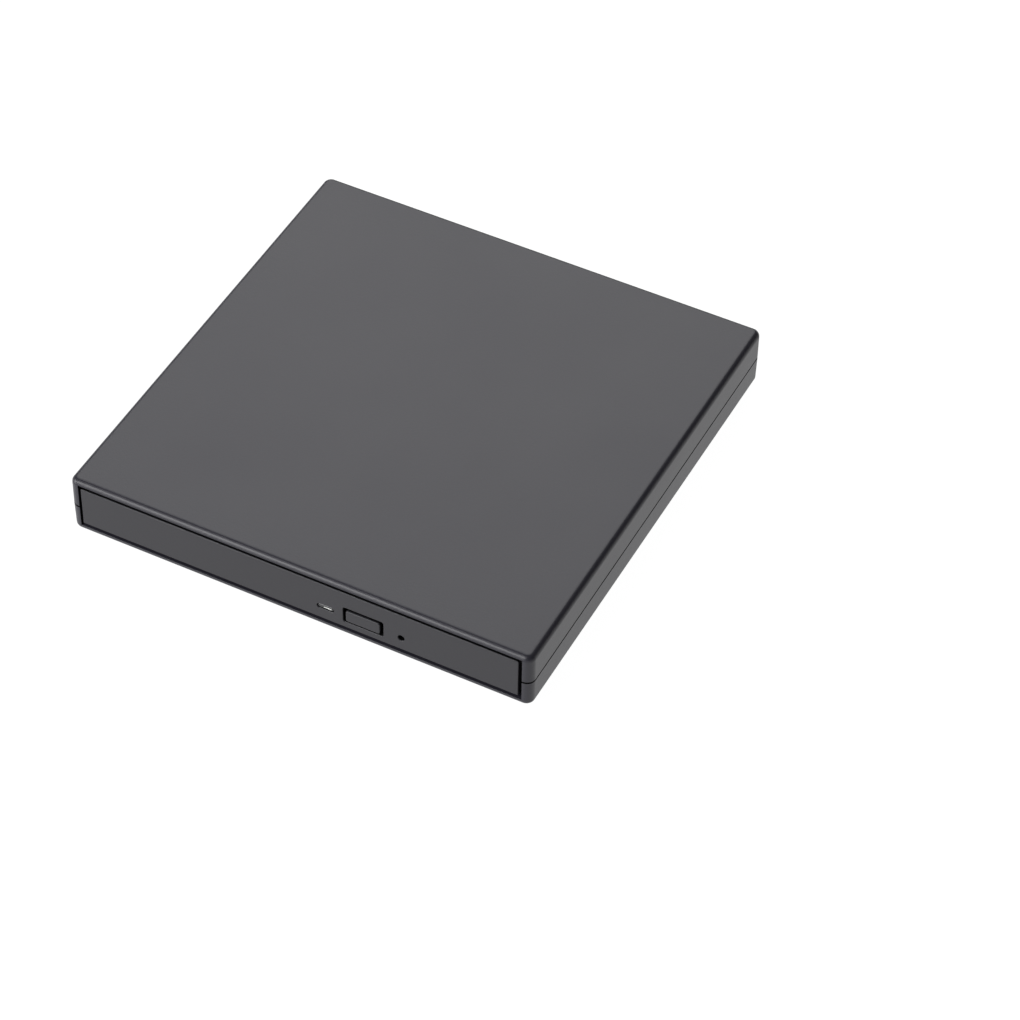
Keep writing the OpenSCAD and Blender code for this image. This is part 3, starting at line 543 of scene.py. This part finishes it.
def make_button():
    """The button's cap, the flange that holds it behind the bezel, and its boss."""
    low, high = box_mm("eject_button")
    back = box_mm("bezel")[1].y
    x, z = BUTTON
    cap = plate(round_rect(x, z, 9.85, 3.7, 0.55), [], low.y, back + 0.2, 0.25)
    flange = soft_block((x - 6.3, back + 0.1, 5.8), (x + 6.3, back + 0.6, 11.6), 0.1)
    length = high.y - back - 0.5
    boss = lathe([(0, 0), (1.2, 0), (1.2, 0.35), (1.05, length), (0, length)], steps=24)
    boss.transform(Matrix.Translation((x, back + 0.5, z)) @ Matrix.Rotation(math.radians(-90), 4, "X"))
    add_piece("eject_button_cap", joined(cap, flange, boss), "eject_button", "button_plastic",
              MATERIALS["button_plastic"], "eject_button")


def make_light_window():
    """A smoked window in the bezel's slot, with a narrow milky strip in its face."""
    low, high = box_mm("bezel")
    face, back = low.y, high.y
    window = plate(round_rect(8.52, 8.7, 4.6, 1.15, 0.57), [], face + 0.12, back + 0.3, 0.25)
    rear = soft_block((5.6, back + 0.05, 7.4), (11.6, back + 1, 10.0), 0.1)
    add_piece("light_window", joined(window, rear), "tray", "lens_window", SMOKED, "light_lens")
    strip = plate(round_rect(9.1, 8.62, 2.3, 0.34, 0.16), [], face + 0.06, face + 0.5, 0.1)
    add_piece("light_window_core", strip, "tray", "lens_window", MATERIALS["lens_window"])


def make_feet():
    """Stuck-on feet with a dished middle and a soft lower edge."""
    low, high = box_mm("rubber_feet")
    radius = 4.5
    dish = [(0, 0.35), (1.6, 0.33), (2.5, 0.2), (2.9, 0.03), (3.2, 0)]
    wall = [(3.9, 0), (4.2, 0.08), (4.4, 0.25), (radius, 0.5), (radius, 1.0)]
    groove = [(4.42, 1.06), (4.42, 1.2), (radius, 1.26)]
    profile = dish + wall + groove + [(radius, high.z), (0, high.z)]
    feet = [lathe(profile, (x, y, 0)) for x in (low.x + radius, high.x - radius)
            for y in (low.y + radius, high.y - radius)]
    add_piece("feet", joined(*feet), "case", "rubber", MATERIALS["rubber"], "rubber_feet")


def make_socket_contacts():
    """Four gold contacts on the tongue of the square socket."""
    low, high = box_mm("usb_socket_insert")
    middle = (low + high) / 2
    tabs = []
    for side in (-1.25, 1.25):
        for level in (-1.6, 1.6):
            x, z = middle.x + side, middle.z + level
            tabs.append(soft_block((x - 0.5, high.y - 7.5, z - 0.07),
                                   (x + 0.5, high.y - 0.4, z + 0.07), 0.04))
    add_piece("socket_contacts", joined(*tabs), "case", "bronze", MATERIALS["bronze"])


def make_lead_screw():
    """The screw with its real thread, one turn for each 3 mm of travel."""
    start, end, pitch = 13.4, 60.0, 3.0
    core, ridge_height, ridge_half = 0.92, 0.28, 0.22
    rounds, steps, run_out = 340, 28, 7.5
    form = bmesh.new()
    rings = []
    for i in range(rounds + 1):
        along = start + (end - start) * i / rounds
        taper = min(1.0, min(i, rounds - i) / run_out)
        ring = []
        for j in range(steps):
            a = 2 * math.pi * j / steps
            phase = (along / pitch - j / steps) % 1.0
            ridge = min(1.0, 1.5 * max(0.0, 1.0 - abs(phase - 0.5) / ridge_half))
            radius = core + ridge_height * ridge * taper
            ring.append(form.verts.new((along, radius * math.cos(a), radius * math.sin(a))))
        rings.append(ring)
    for lower, upper in zip(rings, rings[1:]):
        for j in range(steps):
            k = (j + 1) % steps
            form.faces.new((lower[j], lower[k], upper[k], upper[j]))
    form.faces.new(rings[0][::-1])
    form.faces.new(rings[-1])
    journal = lathe([(0, 7.5), (0.55, 7.5), (0.7, 7.65), (0.7, 61.25), (0.55, 61.4), (0, 61.4)], steps=24)
    journal.transform(Matrix.Rotation(math.radians(90), 4, "Y"))
    mesh = joined(to_mesh(form), journal)
    along_pickup = Matrix.Rotation(math.radians(PICKUP_TURN), 4, "Z")
    mesh.transform(Matrix.Translation((0, SPINDLE_Y, 0)) @ along_pickup
                   @ Matrix.Translation((0, -20.5, 8.6)))
    add_piece("lead_screw_thread", mesh, "lead_screw", "polished_steel", MATERIALS["polished_steel"],
              "lead_screw")


def make_tray_ring():
    """The narrow ledge that a disc's rim settles on, round the well and open at the lens window."""
    profile = [(57.8, 12.1), (57.8, 12.35), (57.95, 12.5), (58.6, 12.5), (58.75, 12.35), (58.75, 12.1)]
    half_gap, steps = 6.5, 140
    form = bmesh.new()
    rings = []
    for i in range(steps + 1):
        a = math.radians(PICKUP_TURN + half_gap + (360 - 2 * half_gap) * i / steps)
        rings.append([form.verts.new((r * math.cos(a), SPINDLE_Y + r * math.sin(a), z)) for r, z in profile])
    for near, far in zip(rings, rings[1:]):
        for j in range(len(profile)):
            k = (j + 1) % len(profile)
            form.faces.new((near[j], near[k], far[k], far[j]))
    form.faces.new(rings[0])
    form.faces.new(rings[-1])
    bmesh.ops.recalc_face_normals(form, faces=form.faces)
    add_piece("well_ledge", to_mesh(form), "tray", "tray_plastic", MATERIALS["tray_plastic"])


def fine_copy(node, *cuts):
    """The node's own mesh in millimetres, cut across each (direction, step) so that it can bend."""
    low, high = box_mm(node)
    form = bmesh.new()
    form.from_mesh(frame["nodes"][node].data)
    bmesh.ops.scale(form, vec=(1 / MM,) * 3, verts=form.verts)
    bmesh.ops.remove_doubles(form, verts=form.verts, dist=1e-4)
    for normal, step in cuts:
        at = low.dot(normal) + step
        while at < high.dot(normal):
            bmesh.ops.bisect_plane(form, geom=form.verts[:] + form.edges[:] + form.faces[:],
                                   plane_co=at * normal, plane_no=normal)
            at += step
    return to_mesh(form)


def make_ribbon():
    """The ribbon under the tray, as a copy of its node cut finely across y and z."""
    mesh = fine_copy("tray_cable", (Vector((0, 1, 0)), 1.5), (Vector((0, 0, 1)), 0.4))
    piece = add_piece("ribbon", mesh, None, "ribbon", MATERIALS["ribbon"], "tray_cable")
    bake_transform(piece)


def make_ejector_coil():
    """The spring behind the plunger, as a copy of its node."""
    piece = add_piece("ejector_coil", fine_copy("ejector_spring"), None, "polished_steel",
                      MATERIALS["polished_steel"], "ejector_spring")
    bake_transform(piece)


# ---- Camera, floor and light -----------------------------------------------------------------

CAMERA = {
    "azimuth": 26.49, "elevation": 45.71, "roll": 1.207, "distance": 0.97334, "lens": 129.721,
    "target": (0.03052, -0.00830, 0.0008),
}


def direction(azimuth, elevation):
    """The way from the object to a viewer, in degrees from the front and from the floor."""
    a = math.radians(azimuth)
    e = math.radians(elevation)
    return Vector((math.sin(a) * math.cos(e), -math.cos(a) * math.cos(e), math.sin(e)))


def set_camera():
    back = direction(CAMERA["azimuth"], CAMERA["elevation"])
    right = direction(CAMERA["azimuth"] + 90, 0)
    up = back.cross(right)
    turn = Matrix((right, up, back)).transposed() @ Matrix.Rotation(math.radians(CAMERA["roll"]), 3, "Z")
    data = bpy.data.cameras.new("camera")
    data.lens = CAMERA["lens"]
    data.sensor_width = 36.0
    camera = bpy.data.objects.new("camera", data)
    place = Vector(CAMERA["target"]) + back * CAMERA["distance"]
    camera.matrix_world = Matrix.Translation(place) @ turn.to_4x4()
    bpy.context.scene.collection.objects.link(camera)
    bpy.context.scene.camera = camera


def set_floor():
    """A plain white floor without a visible shadow."""
    mesh = bpy.data.meshes.new("floor")
    form = bmesh.new()
    bmesh.ops.create_grid(form, x_segments=1, y_segments=1, size=3.0)
    form.to_mesh(mesh)
    form.free()
    floor = bpy.data.objects.new("floor", mesh)
    bpy.context.scene.collection.objects.link(floor)
    look = Look("floor_paper", (0.05, 0.05, 0.05), 0.9)
    look.tint(look.remap(look.noise(0.4), 0.4, 0.6, 0.0, 0.2), (0.06, 0.06, 0.06))
    look.shader.inputs["Emission Color"].default_value = (1.0, 1.0, 1.0, 1.0)
    look.shader.inputs["Emission Strength"].default_value = 0.99
    floor.data.materials.append(look.done())


def area_light(name, azimuth, elevation, distance, width, height, power):
    """A softbox that faces the middle of the object."""
    back = direction(azimuth, elevation)
    data = bpy.data.lights.new(name, "AREA")
    data.shape = "RECTANGLE"
    data.size = width
    data.size_y = height
    data.energy = power
    light = bpy.data.objects.new(name, data)
    light.location = back * distance
    light.rotation_euler = back.to_track_quat("Z", "Y").to_euler()
    bpy.context.scene.collection.objects.link(light)


def set_light():
    """A weak even sky, a key and a fill from the front left, and a wide box behind for the sheen on top."""
    world = bpy.data.worlds.new("studio")
    world.use_nodes = True
    background = world.node_tree.nodes["Background"]
    background.inputs["Color"].default_value = (1.0, 1.0, 1.0, 1.0)
    background.inputs["Strength"].default_value = 0.1
    bpy.context.scene.world = world
    area_light("key_box", -23, 34, 1.2, 0.4, 0.8, 12.5)
    area_light("fill_box", -55, 16, 1.5, 0.6, 0.6, 15)
    area_light("sheen_box", 208, 44, 1.6, 1.3, 1.3, 17.2)
    bpy.context.scene.view_settings.view_transform = "Standard"


# ---- Main ------------------------------------------------------------------------------------

set_camera()
set_floor()
set_light()
dress_frame()
make_bezel()
make_button()
make_light_window()
make_feet()
make_socket_contacts()
make_lead_screw()
make_tray_ring()
make_ribbon()
make_ejector_coil()
